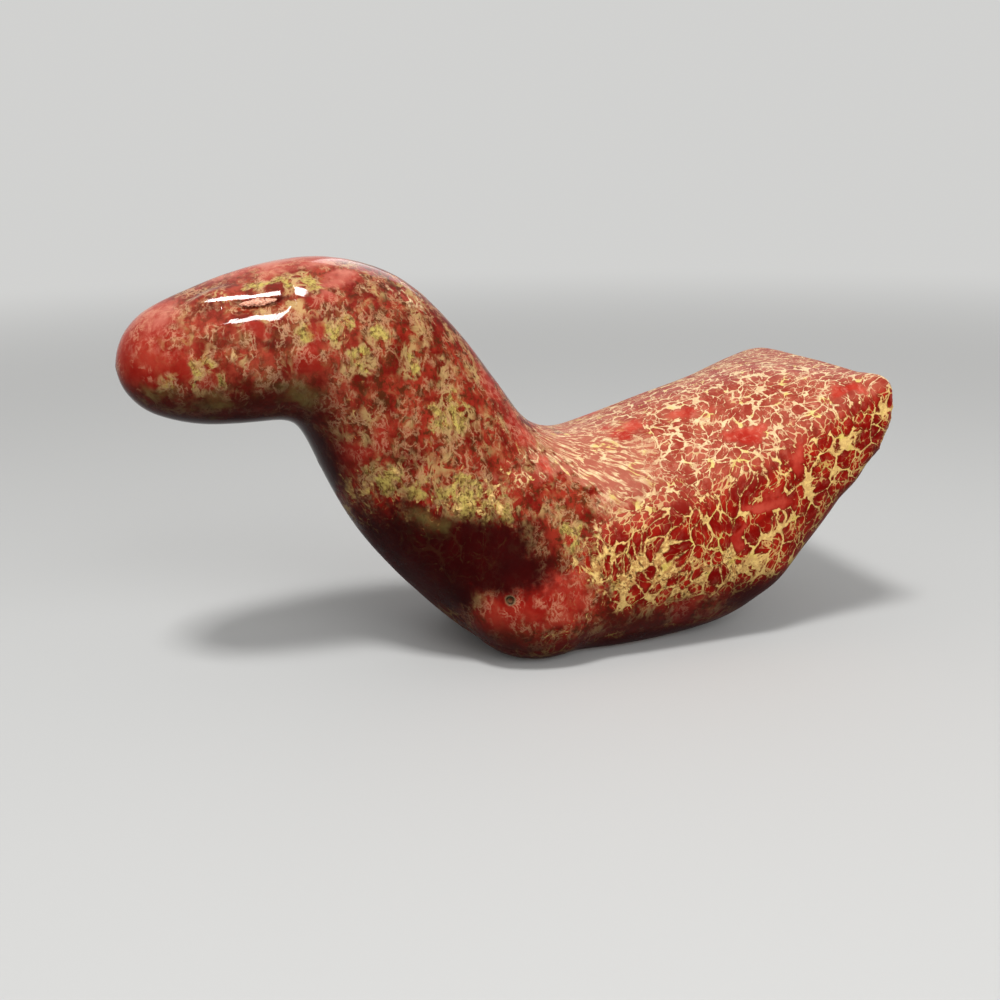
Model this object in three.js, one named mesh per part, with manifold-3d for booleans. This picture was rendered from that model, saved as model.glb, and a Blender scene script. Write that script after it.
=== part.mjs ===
// A hand-built ceramic seal figurine: rolled and pinched clay pieces, joined with slip, glazed and fired.
import * as THREE from "three";
import { mergeVertices } from "three/addons/utils/BufferGeometryUtils.js";
import Module from "manifold-3d";

// Sizes in millimetres. The seal faces -X, its right side is +Y, and it rests on the floor at Z = 0.

// Head and neck
const NOSE_X = -145;
const NOSE_WIDTH = 25;
const NOSE_ROUND = 11;
const CROWN_HEIGHT = 129.7;
const JAW_HEIGHT = 81.7;
const HEAD_WIDTH = 48;
const NECK_WIDTH = 52;

// Trunk and tail
const SADDLE_HEIGHT = 69.7;
const TRUNK_WIDTH = 82;
const BELLY_CUT = 4;
const TAIL_X = 98.5;
const TAIL_HEIGHT = 88;
const TAIL_WIDTH = 86;
const TAIL_THICKNESS = 22;
const TAIL_EDGE = 88;
const TAIL_ROUND = 6;

// Space left for the slip between two pieces
const SLIP_GAP = 0.3;

// Front flippers: pads of clay pressed on the flanks, placed by the section and the angle below the flank
const FLIPPER_LENGTH = 44;
const FLIPPER_HEIGHT = 40;
const FLIPPER_THICKNESS = 4;
const FLIPPER_SECTION = 8.08;
const FLIPPER_ANGLE = -34;

// Eyes: pressed almond sockets with a clay pellet in each, placed by the section and the angle above
// the flank, with the rear corner turned down by the slant
const EYE_LENGTH = 27;
const EYE_HEIGHT = 9;
const EYE_DEPTH = 4.4;
const EYE_SECTION = 1.9;
const EYE_ANGLE = 37.5;
const EYE_SLANT = 5;
const PELLET_LENGTH = 14;
const PELLET_HEIGHT = 4;
const PELLET_DEPTH = 3.4;
const PELLET_SUNK = 2.5;
const PELLET_RAISED = 1.7;

// Fineness of the surfaces
const RING_POINTS = 44;
const FLIPPER_POINTS = 96;
const STEPS = 5;
const FLIPPER_STEPS = 12;

// One cross-section: the point of the back, the point of the belly, the width between the flanks, the share
// of its depth at which it is widest, and how square it is above and below that (2 is an ellipse).
function section(top, bottom, width, widest, back, belly) {
  return { top, bottom, width, widest, back, belly };
}

const SECTIONS = [
  // nose, cheeks, brow, crown
  section([NOSE_X, CROWN_HEIGHT - 18], [NOSE_X, JAW_HEIGHT + 7.8], NOSE_WIDTH, 0.5, 2, 2),
  section([NOSE_X + 21, CROWN_HEIGHT - 8.3], [NOSE_X + 21, JAW_HEIGHT + 0.8], HEAD_WIDTH - 8, 0.5, 2, 2),
  section([NOSE_X + 41, CROWN_HEIGHT - 2], [NOSE_X + 40, JAW_HEIGHT], HEAD_WIDTH - 2, 0.5, 2, 2),
  section([-82, CROWN_HEIGHT], [-95, JAW_HEIGHT], HEAD_WIDTH, 0.5, 2, 2),
  // nape, neck, collar, breast
  section([-60.5, CROWN_HEIGHT - 6.3], [-90, JAW_HEIGHT - 7.7], NECK_WIDTH - 2, 0.5, 2, 2),
  section([-43, SADDLE_HEIGHT + 37.5], [-85.2, JAW_HEIGHT - 19.7], NECK_WIDTH, 0.5, 2, 2),
  section([-29.5, SADDLE_HEIGHT + 19.5], [-76, 44], NECK_WIDTH + 6, 0.48, 2, 2),
  section([-18, SADDLE_HEIGHT + 4.3], [-58.5, 22], TRUNK_WIDTH - 16, 0.47, 2, 2.1),
  // chest, belly, loin, rump
  section([-6, SADDLE_HEIGHT], [-36, 6 - BELLY_CUT], TRUNK_WIDTH - 8, 0.5, 2, 2.6),
  section([10, SADDLE_HEIGHT + 2.8], [-12, -BELLY_CUT], TRUNK_WIDTH - 2, 0.56, 1.95, 2.6),
  section([30, SADDLE_HEIGHT + 8.6], [23, -BELLY_CUT], TRUNK_WIDTH, 0.59, 1.9, 2.6),
  section([49, TAIL_HEIGHT - 5], [52.5, 3.5], TRUNK_WIDTH + 1, 0.62, 1.9, 2.8),
  // tail root, hind flippers, tail end
  section([66, TAIL_HEIGHT - 1.4], [74, 26], TAIL_WIDTH - 2, 0.66, 2.1, 3.1),
  section([TAIL_X - 17.5, TAIL_HEIGHT - 1], [TAIL_X - 11, TAIL_HEIGHT - 36], TAIL_WIDTH, 0.66, 3, 4),
  section([TAIL_X - 4, TAIL_HEIGHT], [TAIL_X - 1, TAIL_HEIGHT - TAIL_THICKNESS], TAIL_EDGE, 0.6, 5, 5),
];
const LAST = SECTIONS.length - 1;

// Where the pieces are joined, counted in sections from the nose
const NAPE_JOIN = 4;
const SHOULDER_JOIN = 6.5;
const TAIL_JOIN = 12;

const wasm = await Module();
wasm.setup();

const topRail = new THREE.CatmullRomCurve3(
  SECTIONS.map((s) => new THREE.Vector3(s.top[0], 0, s.top[1])),
);
const bottomRail = new THREE.CatmullRomCurve3(
  SECTIONS.map((s) => new THREE.Vector3(s.bottom[0], 0, s.bottom[1])),
);
const girth = new THREE.CatmullRomCurve3(
  SECTIONS.map((s) => new THREE.Vector3(s.width / 2, s.widest, 0)),
);
const squareness = new THREE.CatmullRomCurve3(
  SECTIONS.map((s) => new THREE.Vector3(s.back, s.belly, 0)),
);

// The middle line of the body and the two directions of its section there
function stationAt(at) {
  const top = topRail.getPoint(at / LAST);
  const bottom = bottomRail.getPoint(at / LAST);
  const shape = girth.getPoint(at / LAST);
  const square = squareness.getPoint(at / LAST);
  const up = top.clone().sub(bottom);
  const depth = up.length();
  up.normalize();
  const along = new THREE.Vector3(up.z, 0, -up.x);
  const middle = bottom.clone().addScaledVector(up, depth * shape.y);
  const above = depth * (1 - shape.y);
  const below = depth * shape.y;
  return { middle, up, along, above, below, side: shape.x, back: square.x, belly: square.y };
}

const noseMiddle = stationAt(0).middle;
const tailMiddle = stationAt(LAST).middle;

// How far a section draws in near a rounded end
function drawnIn(distance, radius) {
  if (distance >= radius) return 0;
  const share = 1 - distance / radius;
  return radius * (1 - Math.sqrt(1 - share * share));
}

function power(value, exponent) {
  return Math.sign(value) * Math.abs(value) ** exponent;
}

// The point of the skin in a section, by its angle from the right flank, grown outwards by extra
function skinPoint(station, angle, extra) {
  const nose = drawnIn(station.middle.distanceTo(noseMiddle), NOSE_ROUND);
  const tail = drawnIn(station.middle.distanceTo(tailMiddle), TAIL_ROUND);
  const more = extra - nose - tail;
  const side = Math.max(0.4, station.side + more);
  const above = Math.max(0.4, station.above + more);
  const below = Math.max(0.4, station.below + more);
  const sine = Math.sin(angle);
  const square = sine > 0 ? station.back : station.belly;
  const rise = (sine > 0 ? above : below) * power(sine, 2 / square);
  const point = station.middle.clone().addScaledVector(station.up, rise);
  point.y += side * power(Math.cos(angle), 2 / square);
  return point;
}

// One ring of points round a section, grown by what grow says, and moved by shift along the body
function ring(at, points, grow, shift) {
  const station = stationAt(at);
  return Array.from({ length: points }, (_, k) => {
    const angle = (2 * Math.PI * k) / points;
    const point = skinPoint(station, angle, grow(skinPoint(station, angle, 0)));
    return point.addScaledVector(station.along, shift);
  });
}

// A closed skin through rings that each have the same number of points
function skin(rings) {
  const points = rings[0].length;
  const positions = [];
  const index = [];
  for (const row of rings) for (const p of row) positions.push(p.x, p.y, p.z);
  for (let i = 0; i + 1 < rings.length; i++) {
    for (let k = 0; k < points; k++) {
      const a = i * points + k;
      const b = i * points + ((k + 1) % points);
      index.push(a, b, a + points, b, b + points, a + points);
    }
  }
  const close = (row, first, forward) => {
    const centre = new THREE.Vector3();
    for (const p of row) centre.addScaledVector(p, 1 / points);
    const hub = positions.length / 3;
    positions.push(centre.x, centre.y, centre.z);
    for (let k = 0; k < points; k++) {
      const a = first + k;
      const b = first + ((k + 1) % points);
      if (forward) index.push(hub, a, b);
      else index.push(hub, b, a);
    }
  };
  close(rings[0], 0, false);
  close(rings[rings.length - 1], (rings.length - 1) * points, true);
  const geometry = new THREE.BufferGeometry();
  geometry.setAttribute("position", new THREE.Float32BufferAttribute(positions, 3));
  geometry.setIndex(index);
  return geometry;
}

function solid(geometry) {
  geometry.deleteAttribute("normal");
  geometry.deleteAttribute("uv");
  const merged = mergeVertices(geometry);
  const vertProperties = new Float32Array(merged.attributes.position.array);
  const triVerts = new Uint32Array(merged.index.array);
  return new wasm.Manifold(new wasm.Mesh({ numProp: 3, vertProperties, triVerts }));
}

// Stations from one place on the body to another, closer together at a rounded end
function stations(from, to, steps) {
  const count = Math.max(1, Math.round((to - from) * steps));
  return Array.from({ length: count + 1 }, (_, i) => from + ((to - from) * i) / count);
}

function noseStations(to) {
  const near = 0.6;
  const eased = Array.from({ length: 9 }, (_, i) => near * (1 - Math.cos((i / 9) * (Math.PI / 2))));
  return [...eased, ...stations(near, to, STEPS)];
}

function tailStations(from) {
  const near = 0.7;
  const share = (i) => 1 - Math.sin(((i + 1) / 8) * (Math.PI / 2));
  const eased = Array.from({ length: 8 }, (_, i) => LAST - near * share(i));
  return [...stations(from, LAST - near, STEPS), ...eased];
}

// A length of the body, with half the slip gap taken off each joined end
function bodyLength(places, joinedFront, joinedBack) {
  const rings = places.map((at, i) => {
    let shift = 0;
    if (joinedFront && i === 0) shift = SLIP_GAP / 2;
    if (joinedBack && i === places.length - 1) shift = -SLIP_GAP / 2;
    return ring(at, RING_POINTS, () => 0, shift);
  });
  return solid(skin(rings));
}

function below(height) {
  const block = new THREE.BoxGeometry(600, 300, 100);
  block.translate(0, 0, height - 50);
  return solid(block);
}

// An ellipsoid of the given full sizes
function lobe(length, thickness, height, round) {
  const ball = new THREE.SphereGeometry(0.5, round, Math.round(round * 0.6));
  return ball.scale(length, thickness, height);
}

function degrees(angle) {
  return THREE.MathUtils.degToRad(angle);
}

// side is -1 for the left of the seal and 1 for its right
function flankAngle(angle, side) {
  return side > 0 ? degrees(angle) : Math.PI - degrees(angle);
}

const flipperMiddle = skinPoint(stationAt(FLIPPER_SECTION), flankAngle(FLIPPER_ANGLE, 1), 0);

// How far a flipper pad stands out of the skin at a point, and under it beside the pad
function padAt(point) {
  const x = (point.x - flipperMiddle.x) / (FLIPPER_LENGTH / 2);
  const y = (Math.abs(point.y) - flipperMiddle.y) / (FLIPPER_HEIGHT / 2);
  const z = (point.z - flipperMiddle.z) / (FLIPPER_HEIGHT / 2);
  const away = x * x + y * y + z * z;
  return Math.max(-2, FLIPPER_THICKNESS * (1 - away * away));
}

// Both flippers: the skin swollen by the pads, less the skin grown by the slip gap, flat on the floor
const flankPlaces = stations(SHOULDER_JOIN, TAIL_JOIN - 2, FLIPPER_STEPS);
const swollen = skin(flankPlaces.map((at) => ring(at, FLIPPER_POINTS, padAt, 0)));
const bodyPlaces = stations(NAPE_JOIN, TAIL_JOIN, STEPS);
const seat = skin(bodyPlaces.map((at) => ring(at, RING_POINTS, () => SLIP_GAP, 0)));
const flippers = solid(swollen).subtract(solid(seat)).subtract(below(0));

function flipper(side) {
  const half = new THREE.BoxGeometry(600, 300, 600);
  half.translate(0, side * 150, 0);
  return flippers.intersect(solid(half));
}

// A lobe laid on the head, its length along the head and its depth along the skin's outward direction,
// sunk into the skin and raised towards the crown
function atEye(geometry, side, sunk, raised) {
  const angle = flankAngle(EYE_ANGLE, side);
  const place = skinPoint(stationAt(EYE_SECTION), angle, 0);
  const along = skinPoint(stationAt(EYE_SECTION + 0.1), angle, 0).sub(place).normalize();
  const round = skinPoint(stationAt(EYE_SECTION), angle + side * 0.05, 0).sub(place);
  const outward = round.cross(along).multiplyScalar(side).normalize();
  along.applyAxisAngle(outward, side * degrees(EYE_SLANT));
  const across = along.clone().cross(outward);
  geometry.translate(0, -sunk, side * raised);
  geometry.applyMatrix4(new THREE.Matrix4().makeBasis(along, outward, across));
  geometry.translate(place.x, place.y, place.z);
  return solid(geometry);
}

function eyeSocket(side) {
  return atEye(lobe(EYE_LENGTH, 2 * EYE_DEPTH, EYE_HEIGHT, 24), side, 0, 0);
}

function eyePellet(side) {
  const less = 2 * SLIP_GAP;
  const room = atEye(lobe(EYE_LENGTH - less, 2 * EYE_DEPTH - less, EYE_HEIGHT - less, 24), side, 0, 0);
  const pellet = lobe(PELLET_LENGTH, PELLET_DEPTH, PELLET_HEIGHT, 24);
  return atEye(pellet, side, PELLET_SUNK, PELLET_RAISED).intersect(room);
}

const head = bodyLength(noseStations(NAPE_JOIN), false, true)
  .subtract(eyeSocket(-1))
  .subtract(eyeSocket(1));
const neck = bodyLength(stations(NAPE_JOIN, SHOULDER_JOIN, STEPS), true, true);
const trunk = bodyLength(stations(SHOULDER_JOIN, TAIL_JOIN, STEPS), true, true).subtract(below(0));
const tailFan = bodyLength(tailStations(TAIL_JOIN), true, false);

const seal = new THREE.Group();
seal.name = "seal_figurine";

function addPiece(name, made, colour, roughness) {
  const mesh = made.getMesh();
  const geometry = new THREE.BufferGeometry();
  const positions = new Float32Array(mesh.vertProperties);
  geometry.setAttribute("position", new THREE.BufferAttribute(positions, 3));
  geometry.setIndex(new THREE.BufferAttribute(new Uint32Array(mesh.triVerts), 1));
  geometry.computeVertexNormals();
  const material = new THREE.MeshStandardMaterial({ color: colour, roughness, metalness: 0 });
  const piece = new THREE.Mesh(geometry, material);
  piece.name = name;
  seal.add(piece);
}

const RED_GLAZE = 0xa32a24;
const BARE_CLAY = 0xd08a72;
addPiece("head", head, RED_GLAZE, 0.15);
addPiece("neck", neck, RED_GLAZE, 0.15);
addPiece("trunk", trunk, RED_GLAZE, 0.15);
addPiece("tail_fan", tailFan, RED_GLAZE, 0.15);
addPiece("front_flipper_left", flipper(-1), RED_GLAZE, 0.15);
addPiece("front_flipper_right", flipper(1), RED_GLAZE, 0.15);
addPiece("eye_left", eyePellet(-1), BARE_CLAY, 0.75);
addPiece("eye_right", eyePellet(1), BARE_CLAY, 0.75);

export default seal;
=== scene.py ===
"""A glossy hand-built ceramic seal in a running red and yellow glaze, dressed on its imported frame."""
import math

import bmesh
import bpy
import numpy as np
from mathutils import Matrix, Vector, noise as clay_noise
from mathutils.bvhtree import BVHTree


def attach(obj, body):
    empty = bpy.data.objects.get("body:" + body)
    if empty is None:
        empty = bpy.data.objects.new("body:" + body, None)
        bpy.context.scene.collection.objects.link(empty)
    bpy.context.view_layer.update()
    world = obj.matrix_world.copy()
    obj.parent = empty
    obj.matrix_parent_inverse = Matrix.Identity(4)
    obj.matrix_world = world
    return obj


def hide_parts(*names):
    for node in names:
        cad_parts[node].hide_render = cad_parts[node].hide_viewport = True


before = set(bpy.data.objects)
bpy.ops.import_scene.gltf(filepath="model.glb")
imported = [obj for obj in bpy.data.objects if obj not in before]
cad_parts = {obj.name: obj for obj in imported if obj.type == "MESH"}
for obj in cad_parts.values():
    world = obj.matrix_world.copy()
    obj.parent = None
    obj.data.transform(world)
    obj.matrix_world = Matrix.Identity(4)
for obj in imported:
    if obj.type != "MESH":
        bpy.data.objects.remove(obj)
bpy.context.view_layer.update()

MM = 0.001

# Camera: where it stands (mm), its bearing, how far it looks down, its tilt and its lens
CAMERA_PLACE = (-152.5, -364.0, 158.0)
CAMERA_BEARING = 19.0
CAMERA_PITCH = 16.0
CAMERA_ROLL = 0.9
CAMERA_LENS = 43.2
SENSOR_WIDTH = 36.0

# Lamps: place and size (m) and power (W), and the point that they face
OVERHEAD = ((-0.297, -0.357, 1.147), (0.24, 0.18), 8.8)
FRONT_FILL = ((0.2, -1.1, 0.6), (0.9, 0.9), 8.0)
BACK_SHEEN = ((0.62, 1.3, 1.0), (0.75, 0.9), 4.8)
LAMP_AIM = (0, 0, 0.06)

# Background and floor: their colours as seen and as they light the part, and where the floor fades out (m)
BACKGROUND = (0.64, 0.64, 0.63, 1.0)
BACKGROUND_LIGHT = (0.4, 0.4, 0.4, 1.0)
FLOOR = (0.58, 0.58, 0.57, 1.0)
FLOOR_LIGHT = (0.26, 0.26, 0.26, 1.0)
FLOOR_FADE = (0.3, 1.4)
FLOOR_HALF = 30.0

# Skin: the clay pieces grown together, how fine the mesh is and how far it is smoothed (mm and passes)
BODY_NODES = ("head", "neck", "trunk", "tail_fan", "front_flipper_left", "front_flipper_right")
SLIP_GROWTH = 0.25
SKIN_VOXEL = 1.1
SOCKET_PASSES = 372
SMOOTH_PASSES = 37
LID_PASSES = 12
REGAINED = 0.35

# Left eye: the middle of its hollow, its directions along the head, outward and across, the reach that is
# filled, the reach that is worked and how much less the skin there is let out (mm)
EYE_MIDDLE = Vector((-106.2, -18.1, 118.3))
EYE_ALONG = Vector((0.984, -0.145, 0.108))
EYE_OUTWARD = Vector((-0.181, -0.764, 0.620))
EYE_ACROSS = Vector((0.008, 0.629, 0.778))
EYE_REACH = (18.0, 8.5)
EYE_WORKED = (24.0, 12.5)
EYE_HELD_BACK = 0.6
EYE_LOWEST = 106.0

# Lids: how high each one's middle line lies, and its bends by the square and the 4th power along it and the
# square across it (mm)
UPPER_LID = (-0.5, (0.0012, 6e-6, 0.03))
LOWER_LID = (-0.5, (0.0009, 7e-6, 0.022))
REAR_LID = (-0.72, (0.0075, 0.0, 0.015))

# Sliver of bare clay in an eye: its place along and across, its half sizes and how far it stands out (mm)
SLIVER_PLACE = (1.3, 1.7)
SLIVER_HALF = (5.4, 1.2, 0.85)
SLIVER_OUT = 0.8

# Where the mesh is cut finer: along and across at the eyes, and round the pinhole (mm)
FINE_EYE = (20.0, 7.5)
FINE_HOLE = 4.0
FINE_CUTS = 3

# Marks of the hand (mm): a pinhole in the left flipper, and where clay was pressed out, how wide and how far,
# and the tail's crumbled end, from where it starts to where it is full, along X and down Z
PINHOLE = (-37.0, -36.5, 26.0)
PINHOLE_RADIUS = 1.5
PRESSED_OUT = (
    ((89, -40, 84), 14.0, (2.0, -0.3, 2.2)),  # corner of the tail
    ((89, -41, 63), 8.0, (-0.2, -0.3, -1.2)),  # lip of the tail
    ((84, -41, 54), 11.0, (1.2, -0.3, -1.2)),
    ((54, -37, 25), 17.0, (1.4, -0.5, -1.4)),  # lower flank
    ((33, -34, 10), 13.0, (0.6, -0.2, -0.6)),
)
CRUMBLED_X = (84, 93)
CRUMBLED_Z = (88, 76)

# Glaze colours as they look on a screen, 0 to 255
GLAZE = {
    # Pink haze: partly the glaze's own, partly a painted sheen where it faces up
    "haze_and_sheen": (206, 120, 96),
    "sulphur strand": (226, 208, 96),
    "strand pit": (84, 44, 18),
    "saddle ground": (186, 112, 90),
    "tan cloud": (146, 102, 58),
    "brown fleck": (70, 38, 14),
    "pool pit": (70, 36, 14),
    "patch hair": (210, 140, 110),
    # A painted sheen on plain patches facing up
    "patch haze": (216, 134, 110),
    "brown": (84, 32, 16),
    # Painted shade on surfaces facing down
    "painted shade below": (52, 8, 4),
    "pinhole rim": (110, 108, 76),
    # Inside of the pinhole, painted near black as painted shade in the hole
    "pinhole": (14, 10, 7),
    "foot clay": (206, 136, 108),
    "clay pit": (120, 52, 36),
}

# The same in pairs that are mixed
GLAZE_PAIRS = {
    # On the sides and facing up; the colours facing up are paler and pinker, a painted sheen
    "dark red": ((126, 7, 4), (154, 56, 42)),
    "light red": ((172, 30, 16), (178, 88, 66)),
    "strand": ((250, 211, 130), (240, 212, 164)),
    "sand": ((184, 124, 70), (206, 150, 110)),
    "shore": ((96, 26, 10), (150, 62, 42)),
    "deep patch": ((140, 20, 12), (182, 80, 64)),
    "soft patch": ((160, 43, 29), (212, 136, 116)),
    # On the neck and on the head
    "mottle ground": ((108, 14, 8), (124, 30, 18)),
    "mottle cloud": ((154, 46, 30), (170, 66, 46)),
    "hair": ((200, 152, 110), (218, 170, 128)),
    "curl": ((190, 156, 100), (208, 172, 114)),
    "pool sand": ((122, 94, 48), (142, 108, 58)),
    # Scattered and in a pool
    "sulphur": ((186, 153, 92), (202, 180, 92)),
    # Dark and light in clouds
    "bright patch": ((178, 42, 30), (206, 82, 63)),
    # Maroon glaze, deepened as painted shade low on the chest, throat, jaw and belly
    "maroon_and_shade": ((26, 1, 1), (64, 4, 4)),
    "olive": ((54, 42, 18), (110, 98, 52)),
    "bare clay": ((218, 146, 118), (248, 196, 168)),
}

# Gloss of the glaze: its coat all over and how much more there is on the head, and what lies under it
COAT = 0.04
HEAD_COAT = 0.5
COAT_ROUGHNESS = 0.06
SPECULAR_LEVEL = 0.02

# Zones of the glaze: the middle of each on the left side, and its reach along X, Y and Z (mm)
PLAIN_RED = (
    ((-138, -8, 109), (22, 24, 18)),  # muzzle
    ((-97, 0, 131), (48, 15, 8)),  # top of the crown
    ((-79, -15, 124), (9, 7, 5)),  # brow
    ((-89, -21, 118), (6, 6, 4)),  # behind the eye
    ((-107, -21, 112), (4, 5, 4)),  # under the eye
    ((-91, -24, 109), (4, 6, 5)),
    ((-94, -23, 101), (8, 8, 6)),  # cheek
    ((-127, -19, 102), (2, 6, 8)),  # between the runs on the cheek
    ((-120, -20, 99), (3, 6, 7)),
    ((-72, -25, 81), (7, 8, 8)),  # side of the neck
    ((-81, -19, 74), (8, 9, 7)),
    ((-49, -24, 88), (3, 5, 3)),
    ((-45, -28, 70), (3, 6, 5)),
    ((-57, -29, 59), (3, 6, 4)),
    ((-35, -14, 88), (6, 8, 12)),  # back of the neck
    ((-28, -18, 76), (6, 9, 10)),
    ((-20, -23, 64), (5, 7, 6)),
    ((-29, -38, 26), (24, 13, 9)),  # front flipper
    ((-20, -40, 24), (14, 11, 9)),
    ((-40, -33, 21), (17, 14, 12)),
    ((32, -18, 75), (10, 6, 6)),  # back
    ((12, -14, 71), (8, 6, 6)),
    ((45, -31, 70), (8, 5, 5)),
    ((49, -41, 50), (11, 8, 5)),  # flank
    ((61, -42, 61), (4, 6, 5)),
    ((80, -39, 82), (7, 6, 4)),  # tail
    ((41, -41, 36), (3, 6, 8)),  # drop on the flank
    ((24, -36, 16), (8, 9, 5)),  # lower edge
)
YELLOW_POOLS = (
    ((-72, -23, 66), (7, 8, 7)),  # band round the neck
    ((-61, -28, 61), (9, 8, 6)),
    ((-49, -30, 60), (9, 8, 8)),
    ((-39, -32, 56), (8, 8, 8)),
    ((-6, -39, 35), (9, 9, 9)),  # band along the flank
    ((5, -40, 32), (11, 9, 11)),
    ((20, -41, 30), (13, 9, 10)),
    ((34, -41, 29), (11, 9, 9)),
    ((-102, -13, 124), (9, 6, 3)),  # over the eye
    ((-90, -16, 124), (6, 5, 3)),
    ((-124, -20, 101), (3, 6, 9)),  # runs on the cheek
    ((-131, -17, 99), (3, 6, 6)),
    ((-116, -21, 99), (3, 6, 5)),
    ((-120, -20, 106), (4, 6, 2)),
    ((-94, -23, 110), (5, 6, 5)),  # curls behind the cheek
    ((-86, -24, 110), (4, 6, 4)),
    ((-72, -23, 111), (4, 6, 3)),
    ((-77, -25, 104), (5, 6, 3)),
    ((-61, -24, 98), (4, 6, 4)),  # neck
    ((-51, -25, 84), (8, 7, 9)),
    ((-16, -36, 42), (5, 6, 5)),  # shoulder
    ((95, -42, 70), (3, 5, 7)),  # lip of the tail
)
FINE_MOTTLE = (
    ((-105, 0, 105), (75, 70, 70)),  # head
    ((-58, -10, 86), (48, 60, 52)),  # neck
    ((-22, -34, 52), (20, 16, 16)),  # shoulder
    ((-36, -32, 20), (28, 22, 16)),  # front flipper
    ((-18, -40, 24), (15, 12, 10)),
    ((-30, -34, 38), (20, 14, 10)),  # chest
    ((-10, -38, 13), (16, 12, 8)),  # lower flank
    ((10, -36, 12), (16, 12, 8)),
    ((30, -36, 14), (14, 10, 7)),
)
# Dark maroon glaze, made darker still as painted shade on the chest, the throat, under the jaw and under the
# body
DARK_MAROON_AND_SHADE = (
    ((-49, -30, 42), (28, 18, 12)),  # chest
    ((-42, -34, 35), (24, 14, 9)),
    ((-63, -10, 38), (20, 30, 26)),
    ((-56, -22, 28), (16, 16, 12)),
    ((-90, 0, 68), (12, 22, 22)),  # throat
    ((-118, 0, 83), (34, 20, 6)),  # under the jaw
    ((56, -26, 16), (24, 18, 9)),  # under the flank
    ((15, -24, 2), (50, 16, 7)),
)
OLIVE = (
    ((-61, -27, 50), (10, 8, 6)),  # under the band of the neck
    ((-118, -17, 89), (13, 9, 4)),  # lower cheek
    ((-134, -14, 95), (7, 8, 5)),
    ((-95, -20, 92), (10, 8, 5)),
)
BROWN = (
    ((-36, -33, 11), (14, 10, 8)),  # under the flipper
    ((0, -36, 13), (18, 9, 8)),  # lower flank
    ((40, -37, 20), (16, 8, 6)),
)
GLOSS = (((-104, 0, 124), (52, 34, 20)),)  # crown and eyes
STREAKS = (((-3, -20, 64), (22, 30, 16)),)  # saddle
STREAK_ROOT = (-34.0, -4.0, 84.0)

# Size of the glaze's cells (mm), and how far they run down the sides (1 is not at all)
CELL_SIZE = 4.6
CELL_RUN = 0.7

# Uneven outlines of the zones: which of the possible ones, and the length and height of their waves (mm)
DRIFT_SEED = 3
DRIFT_WAVES = ((16.0, 6.0), (5.0, 4.0))
DRIFTING = ("plain", "yellow", "olive", "brown")

# How far inside its reach a zone is full, and how steeply it fades
ZONE_PEAK = 1.35
ZONE_FALL = 1.05

# Sockets of a Mix node for colours: factor, both colours and the result
MIX_FACTOR, MIX_FIRST, MIX_SECOND, MIX_RESULT = 0, 6, 7, 2


class Node:
    """One output socket of a node tree. Arithmetic on it adds Math nodes to the tree."""

    def __init__(self, tree, socket):
        self.tree = tree
        self.socket = socket

    def make(self, kind, settings=None, inputs=None, output=0):
        """A new node of that type in the same tree, its settings first and then its sockets."""
        node = self.tree.nodes.new(kind)
        for name, value in (settings or {}).items():
            setattr(node, name, value)
        for key, value in (inputs or {}).items():
            if isinstance(value, Node):
                self.tree.links.new(value.socket, node.inputs[key])
            else:
                node.inputs[key].default_value = value
        return Node(self.tree, node.outputs[output])

    def math(self, operation, *others):
        return self.make("ShaderNodeMath", {"operation": operation}, dict(enumerate((self, *others))))

    def __add__(self, other):
        return self.math("ADD", other)

    def __radd__(self, other):
        return self.math("ADD", other)

    def __sub__(self, other):
        return self.math("SUBTRACT", other)

    def __rsub__(self, other):
        return (self * -1.0) + other

    def __mul__(self, other):
        return self.math("MULTIPLY", other)

    def __rmul__(self, other):
        return self.math("MULTIPLY", other)

    def __truediv__(self, other):
        return self.math("DIVIDE", other)

    def power(self, other):
        return self.math("POWER", other)

    def size(self):
        return self.math("ABSOLUTE")

    def least(self, other):
        return self.math("MINIMUM", other)

    def most(self, other):
        return self.math("MAXIMUM", other)

    def vector(self, operation, *others, output=0):
        inputs = dict(enumerate((self, *others)))
        return self.make("ShaderNodeVectorMath", {"operation": operation}, inputs, output)

    def scaled(self, factor):
        return self.make("ShaderNodeVectorMath", {"operation": "SCALE"}, {0: self, "Scale": factor})

    def dot(self, direction):
        return self.vector("DOT_PRODUCT", direction, output="Value")

    def distance(self, point):
        return self.vector("DISTANCE", point, output="Value")

    def axes(self):
        parts = self.make("ShaderNodeSeparateXYZ", inputs={0: self}).socket.node
        return [Node(self.tree, parts.outputs[i]) for i in range(3)]

    def joined(self, x, y, z):
        return self.make("ShaderNodeCombineXYZ", inputs={0: x, 1: y, 2: z})

    def step(self, low, high, smooth=True):
        """0 below low and 1 above high (or the other way round), eased between them."""
        kind = "SMOOTHSTEP" if smooth else "LINEAR"
        settings = {"interpolation_type": kind, "clamp": True}
        inputs = {"Value": self, "From Min": low, "From Max": high}
        return self.make("ShaderNodeMapRange", settings, inputs)


def geometry_tree(name, inputs):
    """A Geometry Nodes tree with named size inputs: the tree, its geometry and a dict of its values."""
    tree = bpy.data.node_groups.new(name, "GeometryNodeTree")
    tree.interface.new_socket("Geometry", in_out="INPUT", socket_type="NodeSocketGeometry")
    tree.interface.new_socket("Geometry", in_out="OUTPUT", socket_type="NodeSocketGeometry")
    for label, value in inputs.items():
        kind = "NodeSocketInt" if isinstance(value, int) else "NodeSocketFloat"
        tree.interface.new_socket(label, in_out="INPUT", socket_type=kind)
    entry = tree.nodes.new("NodeGroupInput")
    start = Node(tree, entry.outputs["Geometry"])
    values = {label: Node(tree, entry.outputs[label]) for label in inputs}
    return tree, start, values


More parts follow.
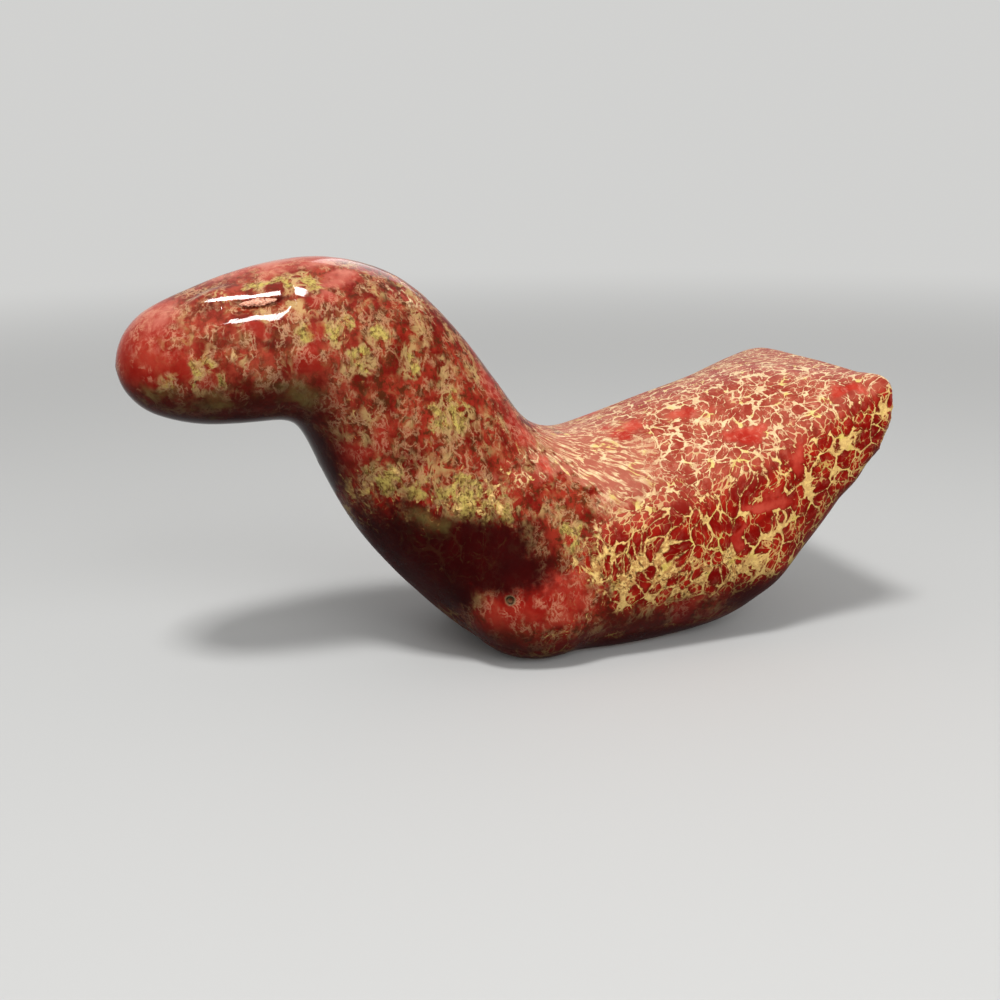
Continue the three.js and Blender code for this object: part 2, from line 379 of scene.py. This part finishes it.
def close_tree(geometry, material):
    """Ends a Geometry Nodes tree in Realize Instances and Set Material."""
    real = geometry.make("GeometryNodeRealizeInstances", inputs={"Geometry": geometry})
    done = real.make("GeometryNodeSetMaterial", inputs={"Geometry": real, "Material": material})
    leave = done.tree.nodes.new("NodeGroupOutput")
    done.tree.links.new(done.socket, leave.inputs["Geometry"])


def apply_tree(piece, tree, inputs):
    """Runs the tree on the piece, its inputs set by identifier, and keeps the result as a plain mesh."""
    modifier = piece.modifiers.new(tree.name, "NODES")
    modifier.node_group = tree
    for item in tree.interface.items_tree:
        if item.in_out == "INPUT" and item.name in inputs:
            modifier[item.identifier] = inputs[item.name]
    keep_as_mesh(piece)


def keep_as_mesh(piece):
    bpy.context.view_layer.update()
    graph = bpy.context.evaluated_depsgraph_get()
    made = bpy.data.meshes.new_from_object(piece.evaluated_get(graph), depsgraph=graph)
    piece.modifiers.clear()
    old = piece.data
    piece.data = made
    bpy.data.meshes.remove(old)


def add_object(name, mesh):
    piece = bpy.data.objects.new(name, mesh)
    bpy.context.scene.collection.objects.link(piece)
    return piece


def make_camera():
    bearing = math.radians(CAMERA_BEARING)
    pitch = math.radians(CAMERA_PITCH)
    roll = math.radians(CAMERA_ROLL)
    level = Vector((math.sin(bearing), math.cos(bearing), 0))
    right = Vector((math.cos(bearing), -math.sin(bearing), 0))
    look = level * math.cos(pitch) - Vector((0, 0, math.sin(pitch)))
    up = level * math.sin(pitch) + Vector((0, 0, math.cos(pitch)))
    turned_right = right * math.cos(roll) - up * math.sin(roll)
    turned_up = right * math.sin(roll) + up * math.cos(roll)
    data = bpy.data.cameras.new("camera")
    data.lens = CAMERA_LENS
    data.sensor_width = SENSOR_WIDTH
    data.clip_start = 0.01
    camera = add_object("camera", data)
    turn = Matrix((turned_right, turned_up, -look)).transposed().to_4x4()
    camera.matrix_world = Matrix.Translation(Vector(CAMERA_PLACE) * MM) @ turn
    bpy.context.scene.camera = camera


def at_left(place):
    """The place folded to the left side, so that both sides are worked alike."""
    x, y, z = place.axes()
    return place.joined(x, y.size() * -1.0, z)


def eye_place(place):
    """Distances in mm along and across the eye on the same side, from a place in mm."""
    away = at_left(place).vector("SUBTRACT", EYE_MIDDLE)
    return away.dot(EYE_ALONG), away.dot(EYE_ACROSS)


def eye_spread(place):
    """0 at the middle of an eye and 1 at the edge of the skin that is worked round it."""
    along, across = eye_place(place)
    below = place.axes()[2].step(EYE_LOWEST, EYE_LOWEST - 4) * 9.0
    return (along / EYE_WORKED[0]).power(2.0) + ((across + 0.5) / EYE_WORKED[1]).power(2.0) + below


def near_eye(place):
    """1 inside the reach of an eye, fading to 0 outside it."""
    along, across = eye_place(place)
    spread = (along / EYE_REACH[0]).power(2.0) + (across / EYE_REACH[1]).power(2.0)
    on_head = place.axes()[2].step(EYE_LOWEST - 2, EYE_LOWEST + 2)
    return spread.step(1.15, 0.85) * on_head


def noise(place, size, detail=2.0, roughness=0.5, twist=0.0, output="Fac"):
    """Noise with features of that size in mm, about 0 to 1."""
    inputs = {"Vector": place, "Scale": 1 / size, "Detail": detail, "Roughness": roughness}
    return place.make("ShaderNodeTexNoise", inputs={**inputs, "Distortion": twist}, output=output)


def joined_body():
    """Copies of the clay pieces in one mesh, each merged."""
    shape = bmesh.new()
    for name in BODY_NODES:
        shape.from_mesh(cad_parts[name].data)
    bmesh.ops.remove_doubles(shape, verts=shape.verts, dist=0.001 * MM)
    mesh = bpy.data.meshes.new("glazed_skin")
    shape.to_mesh(mesh)
    shape.free()
    return add_object("glazed_skin", mesh)


def blurred(value, passes, weight):
    inputs = {"Value": value, "Iterations": passes, "Weight": weight}
    return value.make("GeometryNodeBlurAttribute", {"data_type": "FLOAT_VECTOR"}, inputs)


def moved(shape, position):
    return shape.make("GeometryNodeSetPosition", inputs={"Geometry": shape, "Position": position})


def smoothing_tree(material):
    """Fills the eye sockets, smooths the joined clay all over and lets out what that shrinks."""
    sizes = {"Socket passes": SOCKET_PASSES, "Smooth passes": SMOOTH_PASSES, "Regained": REGAINED * MM}
    tree, shape, value = geometry_tree("smoothed_clay", sizes)
    place = shape.make("GeometryNodeInputPosition")
    inside = near_eye(place.scaled(1 / MM))
    shape = moved(shape, blurred(place, value["Socket passes"], inside))
    place = shape.make("GeometryNodeInputPosition")
    shape = moved(shape, blurred(place, value["Smooth passes"], 1.0))
    let_out = value["Regained"] - eye_spread(place.scaled(1 / MM)).step(2.2, 1.0) * EYE_HELD_BACK * MM
    outward = shape.make("GeometryNodeInputNormal").scaled(let_out)
    shape = shape.make("GeometryNodeSetPosition", inputs={"Geometry": shape, "Offset": outward})
    close_tree(shape, material)
    return tree, sizes


def refine(mesh):
    """Cuts the faces finer round the eyes and the pinhole."""
    shape = bmesh.new()
    shape.from_mesh(mesh)
    hole = Vector(PINHOLE)
    along, across = FINE_EYE
    chosen = set()
    for edge in shape.edges:
        middle = (edge.verts[0].co + edge.verts[1].co) / (2 * MM)
        away = Vector((middle.x, -abs(middle.y), middle.z)) - EYE_MIDDLE
        by_eye = abs(away.dot(EYE_ALONG)) < along and abs(away.dot(EYE_ACROSS)) < across
        if (by_eye and middle.z > EYE_LOWEST) or (middle - hole).length < FINE_HOLE:
            chosen.add(edge)
    bmesh.ops.subdivide_edges(shape, edges=list(chosen), cuts=FINE_CUTS, use_grid_fill=True)
    bmesh.ops.triangulate(shape, faces=[f for f in shape.faces if len(f.verts) > 4])
    shape.to_mesh(mesh)
    shape.free()


def over(value, limit):
    """How far the value is over the limit, and 0 below it."""
    return (value - limit).most(0.0)


def pillow(along, across, height, bends):
    """A strip that bends down from its middle line, which lies at that height."""
    square, fourth, cross = bends
    return height - along.power(2.0) * square - along.power(4.0) * fourth - across.power(2.0) * cross


def eye_relief(place, swell, slope):
    """How far the skin round the eyes goes out (mm): a swelling, three glossy lids, the hollow between."""
    away = at_left(place).vector("SUBTRACT", EYE_MIDDLE)
    skin = away.dot(EYE_OUTWARD)
    along, across = eye_place(place)
    torn = across + (noise(place, 1.6, 2.0) - 0.5) * 0.5

    # Swelling, pointed to the front
    rise = (along + (across - 1.0).size() * 0.7).step(-20.0, -4.0, smooth=False)
    rise = rise.least(along.step(20.0, 8.0, smooth=False))
    fade = across.step(-11.0, -4.0).least(across.step(10.5, 3.5))
    swollen = skin + rise * fade * swell

    # Upper lid: its line leans, its ends and top are cut off, its lower edge is torn and has a notch
    lean = (along - 6.7) * 0.05 - 3.2
    cut = over(along * -1.0, 14.2) + over(along, 7.0) + over(across + lean, 1.6)
    upper = pillow(along + 3.6, across + lean, *UPPER_LID) - cut * 0.25
    wall = along.step(-9.0, -4.0, smooth=False) * 1.3 + 0.3
    upper = upper - over((torn + lean) * -1.0, 0.9) * wall - (along - 0.3).size().step(1.1, 0.0) * 0.9

    # Lower lid: its line turns up at the rear, and it gets thinner to the front
    line = 4.1 - over(along, 6.5).power(2.0) * 0.17 - along.size().step(4.0, 0.0) * 0.4
    cut = over(along * -1.0, 7.4) + over(along, 10.5) + over((across + line) * -1.0, 1.8)
    thin = over(along * -1.0, -2.0) * 0.003
    lower = pillow(along - 1.6, across + line, *LOWER_LID) - cut * 0.25
    lower = lower - thin * (across + line).power(2.0) - over(torn + line, 1.0) * slope

    # Rear lid, a small one
    line = (along - 12.8) * 0.3 - 3.4
    cut = over(along * -1.0, -9.0) * 0.3 + over((across + line).size(), 2.0) * 0.2
    rear = pillow(along - 12.8, across + line, *REAR_LID) - cut

    # Hollow between the lids
    hollow = ((torn + 2.9) * slope).least((torn + lean + 0.9) * -1.6).most(0.0)
    hollow = hollow * along.step(-9.0, -3.0, smooth=False) * along.step(12.0, 9.0, smooth=False)
    shaped = upper.most(lower).most(rear).most(swollen - hollow)

    inside = eye_spread(place).step(1.0, 0.6) * skin.step(-12.0, -9.0)
    return (shaped - skin) * inside


def relief_tree(material):
    """The marks of the hand: an uneven skin, the pressed eyes, a pinhole, clay pressed out and crumbled."""
    sizes = {
        "Wobble": 0.5,
        "Ripple": 0.12,
        "Eye swell": 1.45,
        "Eye hollow": 0.45,
        "Pinhole": 1.5,
        "Ragged end": 1.3,
    }
    tree, shape, value = geometry_tree("hand_worked_clay", sizes)
    place = shape.make("GeometryNodeInputPosition")
    close = near_eye(place.scaled(1 / MM))
    shape = moved(shape, blurred(place, LID_PASSES, close))
    place = shape.make("GeometryNodeInputPosition").scaled(1 / MM)

    eye = eye_relief(place, value["Eye swell"], value["Eye hollow"])
    from_hole = place.distance(PINHOLE)
    hole = (from_hole / PINHOLE_RADIUS).step(1.0, 0.3)
    rim = ((from_hole - PINHOLE_RADIUS * 1.3) / (PINHOLE_RADIUS * 0.5)).size().step(1.0, 0.0)
    end = place.axes()[0].step(*CRUMBLED_X) * place.axes()[2].step(*CRUMBLED_Z)
    ragged = (noise(place, 3.5, 3.0, 0.6) - 0.5) * end
    height = (noise(place, 30.0) - 0.5) * value["Wobble"] + (noise(place, 9.0) - 0.5) * value["Ripple"]
    height = height - hole * value["Pinhole"] + rim * 0.1 + ragged * value["Ragged end"] * 2.0
    push = shape.make("GeometryNodeInputNormal").scaled(height)
    side = place.axes()[1].math("SIGN")
    for middle, reach, way in PRESSED_OUT:
        amount = (place.distance(middle) / reach).step(1.0, 0.0)
        push = push.vector("ADD", push.joined(*(amount * part for part in way)))
    eye_x, eye_y, eye_z = EYE_OUTWARD
    push = push.vector("ADD", push.joined(eye * eye_x, side * eye * -eye_y, eye * eye_z))
    x, y, z = place.vector("ADD", push).axes()
    shape = moved(shape, place.joined(x, y, z.most(0.0)).scaled(MM))
    close_tree(shape, material)
    return tree, sizes


def drifted(points):
    """The points pushed about in long and short waves, so that the zones get uneven outlines."""
    clay_noise.seed_set(DRIFT_SEED)
    pushed = points.copy()
    for size, amount in DRIFT_WAVES:
        pushed += amount * np.array([clay_noise.noise_vector(Vector(p) / size) for p in points])
    return pushed


def zone(points, patches):
    """How much each point, folded to the left, lies in the patches, 0 to 1."""
    folded = points * (1, 0, 1) - np.abs(points) * (0, 1, 0)
    amount = np.zeros(len(points))
    for middle, reach in patches:
        away = np.linalg.norm((folded - middle) / np.array(reach, float), axis=1)
        amount = np.maximum(amount, np.clip(ZONE_PEAK - ZONE_FALL * away, 0, 1))
    return amount


def mark_zones(mesh):
    """Stores the glaze zones and the upward slope on the mesh, for the shader."""
    count = len(mesh.vertices)
    points = np.zeros(count * 3)
    mesh.vertices.foreach_get("co", points)
    points = points.reshape(-1, 3) / MM
    normals = np.zeros(count * 3)
    mesh.vertex_normals.foreach_get("vector", normals)
    zones = {
        "plain": PLAIN_RED,
        "yellow": YELLOW_POOLS,
        "mottle": FINE_MOTTLE,
        "maroon_and_shade": DARK_MAROON_AND_SHADE,
        "olive": OLIVE,
        "brown": BROWN,
        "streaks": STREAKS,
        "gloss": GLOSS,
    }
    pushed = drifted(points)
    layers = {}
    for name, patches in zones.items():
        layers[name] = zone(pushed if name in DRIFTING else points, patches)
    layers["upward"] = normals.reshape(-1, 3)[:, 2]
    for name, values in layers.items():
        layer = mesh.attributes.new(name, "FLOAT", "POINT")
        layer.data.foreach_set("value", values.astype(np.float32))


def tint(red, green, blue):
    """A colour as it looks on a screen, 0 to 255, as the shader's linear colour."""
    parts = []
    for part in (red, green, blue):
        share = part / 255
        parts.append(share / 12.92 if share <= 0.04045 else ((share + 0.055) / 1.055) ** 2.4)
    return (*parts, 1.0)


def cells(place, size):
    """Shares of a cell of that size in mm: the distance to its nearest edge, and to its middle."""
    inputs = {"Vector": place, "Scale": 1 / size}
    edge = place.make("ShaderNodeTexVoronoi", {"feature": "DISTANCE_TO_EDGE"}, inputs, "Distance")
    middle = place.make("ShaderNodeTexVoronoi", {"feature": "F1"}, inputs, "Distance")
    return edge, middle


def wander(place, size, amount):
    """The place pushed about by noise of that size, by up to half the amount."""
    push = noise(place, size, output="Color").vector("SUBTRACT", (0.5, 0.5, 0.5))
    return place.vector("ADD", push.scaled(amount))


def mix(factor, first, second):
    inputs = {MIX_FACTOR: factor, MIX_FIRST: first, MIX_SECOND: second}
    return factor.make("ShaderNodeMix", {"data_type": "RGBA"}, inputs, MIX_RESULT)


def glazed(name):
    """One of the glaze's colours."""
    return tint(*GLAZE[name])


def blended(factor, name):
    """The mix of a pair of the glaze's colours."""
    return mix(factor, *(tint(*colour) for colour in GLAZE_PAIRS[name]))


def ridges(value, low, high):
    """Thin curling lines where a noise passes its middle value."""
    return (1.0 - (value * 2.0 - 1.0).size()).step(low, high)


def glaze_material():
    material = bpy.data.materials.new("running_glaze")
    material.use_nodes = True
    tree = material.node_tree
    shader = tree.nodes["Principled BSDF"]
    start = Node(tree, None)

    def marked(name):
        return start.make("ShaderNodeAttribute", {"attribute_name": name}, output="Fac")

    place = start.make("ShaderNodeTexCoord", output="Object").scaled(1 / MM)
    flow = wander(wander(place, 24.0, 14.0), 4.0, 3.0).vector("MULTIPLY", (1.0, 1.0, CELL_RUN))
    ragged = (noise(place, 6.0, 4.0, 0.6) - 0.5) + (noise(place, 1.8, 3.0) - 0.5) * 0.6
    plain = (marked("plain") + ragged * 1.1).step(0.3, 0.9)
    yellow = (marked("yellow") + ragged * 0.8).step(0.1, 0.95)
    mottle = (marked("mottle") + ragged * 1.4).step(0.3, 0.7)
    maroon_and_shade = (marked("maroon_and_shade") + ragged * 0.6).step(0.0, 0.75)
    olive = (marked("olive") + ragged * 1.2).step(0.2, 1.1)
    brown = (marked("brown") + ragged * 1.2).step(0.2, 1.1)
    streaks = (marked("streaks") + ragged * 0.6).step(0.1, 0.8)
    # Facing up: the back's own web pattern, and the paler colour pairs there, a painted sheen
    deck_and_sheen = marked("upward").step(0.1, 0.7)
    # Facing down, darkened as painted shade
    shade_below = marked("upward").step(-0.05, -0.65)

    # Red ground
    cloud = noise(place, 7.0, 4.0)
    clouds = cloud.step(0.35, 0.65)
    grain = noise(flow, 0.9, 3.0, 0.6)
    # Darker and lighter red, each paler and pinker where it faces up, a painted sheen
    dark_red = blended(deck_and_sheen, "dark red")
    light_red = blended(deck_and_sheen, "light red")
    red = mix(clouds, dark_red, light_red)
    # Pink haze, partly the glaze's own tone and partly a painted sheen that is stronger facing up
    haze_and_sheen = noise(flow, 2.0, 4.0, 0.65).step(0.46, 0.74)
    red = mix(haze_and_sheen * (deck_and_sheen * 0.45 + 0.2), red, glazed("haze_and_sheen"))

    # Web: broken strands on the back, and sandy glaze between round red drops on the flank
    torn = (noise(place, 1.2, 3.0, 0.6) - 0.5) * 0.18
    run = noise(flow, 3.0, 4.0, 0.65) - 0.5
    flank = yellow * (1.0 - deck_and_sheen)
    edge, middle = cells(flow, CELL_SIZE)
    width = middle.step(0.5, 0.9) * 0.1 + run * 0.3 + flank * 0.06 - plain * 0.25
    radius = (run * 0.38 - flank * 0.3 + plain * 0.3 + 0.82).most(0.72 - flank * 0.4)
    inner = (edge + torn - width).least((radius + torn - middle) * 0.7)
    back_edge, back_middle = cells(flow.vector("MULTIPLY", (0.75, 1.0, 1.0)), CELL_SIZE * 0.68)
    back_width = back_middle.step(0.45, 0.9) * 0.09 + run * 0.5 - plain * 0.25 + 0.01
    inner = inner + (back_edge + torn - back_width - inner) * deck_and_sheen
    fine_edge, fine_middle = cells(wander(flow, 2.0, 1.6), CELL_SIZE * 0.45)
    fine_run = noise(place, 7.0, 3.0, 0.6) - 0.6
    fine_width = fine_middle.step(0.4, 0.8) * 0.1 + fine_run * 0.5 + flank * 0.05 - plain * 0.4
    web = inner.step(0.03, -0.03).most((fine_edge - fine_width).step(0.05, -0.05) * 0.7)
    shore = inner.step(0.12, 0.02)

    # Streaks of the saddle, fanning out from the root of the neck
    away = wander(place, 8.0, 3.0).vector("SUBTRACT", STREAK_ROOT)
    fan = away.vector("NORMALIZE").scaled(36.0).vector("ADD", away.scaled(0.12))
    thread = noise(fan, 1.0, 3.0, 0.6).step(0.47, 0.6) * noise(place, 5.0, 2.0).step(0.25, 0.5)
    web = mix(streaks, web, thread)

    # Colours of the strands, paler and pinker where they face up, a painted sheen
    sand = noise(place, 1.5, 4.0, 0.7)
    pale = blended(deck_and_sheen, "strand")
    tan = blended(deck_and_sheen, "sand")
    pale = mix(sand.step(0.4, 0.58) * (flank * 0.45 + 0.45), pale, tan)
    pale = mix(noise(place, 5.0, 3.0).step(0.56, 0.7) * 0.6, pale, glazed("sulphur strand"))
    pits = noise(flow, 1.2, 3.0, 0.6).step(0.52, 0.62) * yellow
    pale = mix(pits * (1.0 - deck_and_sheen) * 0.9, pale, glazed("strand pit"))
    webbed = mix(shore * 0.6, red, blended(deck_and_sheen, "shore"))
    webbed = mix(streaks * 0.6, webbed, glazed("saddle ground"))
    webbed = mix(web, webbed, pale)

    # Fine curling mottle of the head and the neck
    head = place.axes()[0].step(-66, -98)
    drawn = place.vector("MULTIPLY", (1.0, 1.0, 0.75))
    other = drawn.vector("ADD", (40.0, 0.0, 0.0))
    ground = blended(head, "mottle ground")
    lighter = blended(head, "mottle cloud")
    mottled = mix(noise(drawn, 8.0, 5.0, 0.65).step(0.38, 0.62), ground, lighter)
    tan_cloud = noise(other, 5.0, 5.0, 0.7, 0.4).step(0.46, 0.72) * (head * 0.25 + 0.45)
    mottled = mix(tan_cloud, mottled, glazed("tan cloud"))
    fleck = noise(drawn, 2.2, 5.0, 0.7, 0.4).step(0.46, 0.62) * (0.82 - head * 0.3)
    mottled = mix(fleck, mottled, glazed("brown fleck"))
    hair = ridges(noise(drawn, 3.0, 5.0, 0.65, 0.4), 0.87, 1.0) * noise(other, 5.0, 3.0).step(0.44, 0.6)
    mottled = mix(hair * 0.65, mottled, blended(head, "hair"))
    curl = ridges(noise(other, 4.4, 4.0, 0.6, 0.8), 0.8, 0.97)
    curl = curl * (noise(drawn, 7.0) + yellow * 0.4).step(0.5, 0.7)
    mottled = mix(curl * 0.78, mottled, blended(head, "curl"))
    pool = (noise(other, 3.4, 5.0, 0.72, 0.6) + yellow * 0.24).step(0.64, 0.76)
    sulphur = blended(yellow, "sulphur")
    sulphur = mix(noise(drawn, 1.4, 4.0, 0.7).step(0.4, 0.64), sulphur, blended(head, "pool sand"))
    mottled = mix(pool * 0.9, mottled, sulphur)
    mottled = mix(pits * 0.7, mottled, glazed("pool pit"))

    colour = mix(mottle, webbed, mottled)

    # Plain red patches, paler and pinker where they face up, a painted sheen
    bright = blended(clouds, "bright patch")
    sheen_facing_up = marked("upward").step(0.5, 0.95)
    deep = blended(sheen_facing_up, "deep patch")
    soft = blended(sheen_facing_up, "soft patch")
    patch = mix(mottle * 0.85, bright, mix(clouds, deep, soft))
    patch = mix(hair * mottle * 0.6, patch, glazed("patch hair"))
    patch = mix(haze_and_sheen * deck_and_sheen * 0.75, patch, glazed("patch haze"))
    colour = mix(plain * (1.0 - web * 0.5) * 0.92, colour, patch)

    # Brown, maroon and olive glaze low on the body; the maroon is deepened as painted shade, and surfaces
    # facing down are darkened as painted shade
    colour = mix(brown * 0.5, colour, glazed("brown"))
    colour = mix(shade_below * 0.85, colour, glazed("painted shade below"))
    dark = blended(cloud, "maroon_and_shade")
    colour = mix(maroon_and_shade * 0.98, colour, dark)
    colour = mix(olive * 0.55, colour, blended(clouds, "olive"))

    # Pinhole with a pale green rim, its inside painted near black as painted shade in the hole
    away = place.distance(PINHOLE)
    colour = mix((away + ragged * 2.0).step(2.2, 1.5) * 0.6, colour, glazed("pinhole rim"))
    colour = mix((away + ragged).step(1.6, 1.2), colour, glazed("pinhole"))

    # Bare clay under the foot
    height = place.axes()[2]
    bare = (height + ragged * 0.8).step(0.8, 0.2)
    colour = mix(bare, colour, glazed("foot clay"))

    # Gloss and relief
    links = tree.links
    links.new(colour.socket, shader.inputs["Base Color"])
    shader.inputs["Specular IOR Level"].default_value = SPECULAR_LEVEL
    shader.inputs["Coat Roughness"].default_value = COAT_ROUGHNESS
    links.new((marked("gloss") * HEAD_COAT + COAT).socket, shader.inputs["Coat Weight"])
    rough = 0.08 + (1.0 - mottle) * 0.3 + grain * 0.05 + bare * 0.5
    links.new(rough.socket, shader.inputs["Roughness"])
    relief = web * (1.0 - mottle) * -0.6 + grain * 0.12 + cloud * 0.6
    bump = relief.make("ShaderNodeBump", inputs={"Strength": 0.5, "Distance": 0.1 * MM, "Height": relief})
    links.new(bump.socket, shader.inputs["Normal"])
    return material


def make_skin():
    glaze = glaze_material()
    skin = joined_body()
    grown = skin.modifiers.new("grown", "DISPLACE")
    grown.strength = SLIP_GROWTH * MM
    grown.mid_level = 0
    remesh = skin.modifiers.new("one_clay", "REMESH")
    remesh.mode = "VOXEL"
    remesh.voxel_size = SKIN_VOXEL * MM
    remesh.use_smooth_shade = True
    keep_as_mesh(skin)
    apply_tree(skin, *smoothing_tree(glaze))
    refine(skin.data)
    apply_tree(skin, *relief_tree(glaze))
    mark_zones(skin.data)
    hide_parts(*BODY_NODES)
    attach(skin, "root")
    return skin


def clay_material():
    material = bpy.data.materials.new("bare_clay")
    material.use_nodes = True
    tree = material.node_tree
    shader = tree.nodes["Principled BSDF"]
    place = Node(tree, None).make("ShaderNodeTexCoord", output="Object").scaled(1 / MM)
    grain = noise(place, 0.7, 4.0, 0.65)
    colour = blended(grain.step(0.35, 0.65), "bare clay")
    colour = mix(noise(place, 1.6, 2.0).step(0.6, 0.72), colour, glazed("clay pit"))
    tree.links.new(colour.socket, shader.inputs["Base Color"])
    tree.links.new((grain * 0.2 + 0.62).socket, shader.inputs["Roughness"])
    bump = grain.make("ShaderNodeBump", inputs={"Strength": 0.6, "Distance": 0.15 * MM, "Height": grain})
    tree.links.new(bump.socket, shader.inputs["Normal"])
    return material


def make_eye(skin, clay, name, node, side):
    """A jagged sliver of bare clay in the bottom of the eye on one side (-1 is the left)."""
    mirror = Vector((1, -side, 1))
    along, across, outward = (direction * mirror for direction in (EYE_ALONG, EYE_ACROSS, EYE_OUTWARD))
    middle = EYE_MIDDLE * mirror + along * SLIVER_PLACE[0] + across * SLIVER_PLACE[1]
    corners = [vert.co for vert in skin.data.vertices]
    tree = BVHTree.FromPolygons(corners, [face.vertices for face in skin.data.polygons])
    floor, _, _, _ = tree.ray_cast((middle + outward * 12) * MM, -outward)
    long, wide, thick = SLIVER_HALF
    shape = bmesh.new()
    bmesh.ops.create_icosphere(shape, subdivisions=5, radius=1)
    for vert in shape.verts:
        u, v, w = vert.co
        swell = 1 + 0.7 * clay_noise.noise(Vector((u * 6.5, v * 2.5, w * 1.5 + side)))
        tip = 1 - 0.35 * abs(u)
        lift = 0.25 * clay_noise.noise(Vector((u * 9, v * 4, w * 4)))
        place = along * (u * long) + across * (v * wide * swell * tip)
        place += outward * (w * thick * tip + lift + SLIVER_OUT)
        vert.co = floor + place * MM
    bmesh.ops.recalc_face_normals(shape, faces=shape.faces)
    for face in shape.faces:
        face.smooth = True
    mesh = bpy.data.meshes.new(name)
    shape.to_mesh(mesh)
    shape.free()
    mesh.materials.append(clay)
    piece = add_object(name, mesh)
    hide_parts(node)
    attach(piece, "root")


def in_view(start):
    """1 for the rays that show the background to the camera, also by way of gloss or glass."""
    kinds = ("Is Camera Ray", "Is Glossy Ray", "Is Transmission Ray")
    camera, glossy, through = (start.make("ShaderNodeLightPath", output=kind) for kind in kinds)
    return camera.most(glossy).most(through)


def make_stage():
    """A wide pale floor that fades into the pale background."""
    mesh = bpy.data.meshes.new("floor")
    shape = bmesh.new()
    bmesh.ops.create_grid(shape, x_segments=1, y_segments=1, size=FLOOR_HALF)
    shape.to_mesh(mesh)
    shape.free()
    floor = add_object("floor", mesh)
    material = bpy.data.materials.new("pale_floor")
    material.use_nodes = True
    tree = material.node_tree
    shader = tree.nodes["Principled BSDF"]
    shader.inputs["Roughness"].default_value = 0.75
    shader.inputs["Specular IOR Level"].default_value = 0.2
    start = Node(tree, None)
    seen = in_view(start)
    colour = mix(seen, FLOOR_LIGHT, FLOOR)
    tree.links.new(colour.socket, shader.inputs["Base Color"])
    glow = tree.nodes.new("ShaderNodeEmission")
    glow.inputs["Color"].default_value = BACKGROUND
    place = start.make("ShaderNodeTexCoord", output="Object")
    far = place.vector("LENGTH", output="Value").step(*FLOOR_FADE) * seen
    both = tree.nodes.new("ShaderNodeMixShader")
    tree.links.new(far.socket, both.inputs[0])
    tree.links.new(shader.outputs[0], both.inputs[1])
    tree.links.new(glow.outputs[0], both.inputs[2])
    tree.links.new(both.outputs[0], tree.nodes["Material Output"].inputs["Surface"])
    mesh.materials.append(material)


def add_lamp(name, place, size, watts):
    """A rectangular lamp (m) that faces the part."""
    data = bpy.data.lights.new(name, "AREA")
    data.shape = "RECTANGLE"
    data.size, data.size_y = size
    data.energy = watts
    lamp = add_object(name, data)
    lamp.location = place
    lamp.rotation_euler = (Vector(LAMP_AIM) - lamp.location).to_track_quat("-Z", "Y").to_euler()
    return lamp


def make_light():
    world = bpy.data.worlds.new("studio")
    world.use_nodes = True
    tree = world.node_tree
    sky = tree.nodes["Background"]
    start = Node(tree, None)
    colour = mix(in_view(start), BACKGROUND_LIGHT, BACKGROUND)
    tree.links.new(colour.socket, sky.inputs["Color"])
    bpy.context.scene.world = world
    add_lamp("overhead", *OVERHEAD)
    fill = add_lamp("front_fill", *FRONT_FILL)
    fill.visible_glossy = False
    sheen = add_lamp("back_sheen", *BACK_SHEEN)
    sheen.visible_camera = False
    sheen.visible_diffuse = False


make_camera()
skin = make_skin()
clay = clay_material()
make_eye(skin, clay, "bare_clay_left", "eye_left", -1)
make_eye(skin, clay, "bare_clay_right", "eye_right", 1)
make_stage()
make_light()
bpy.context.scene.view_settings.view_transform = "Standard"
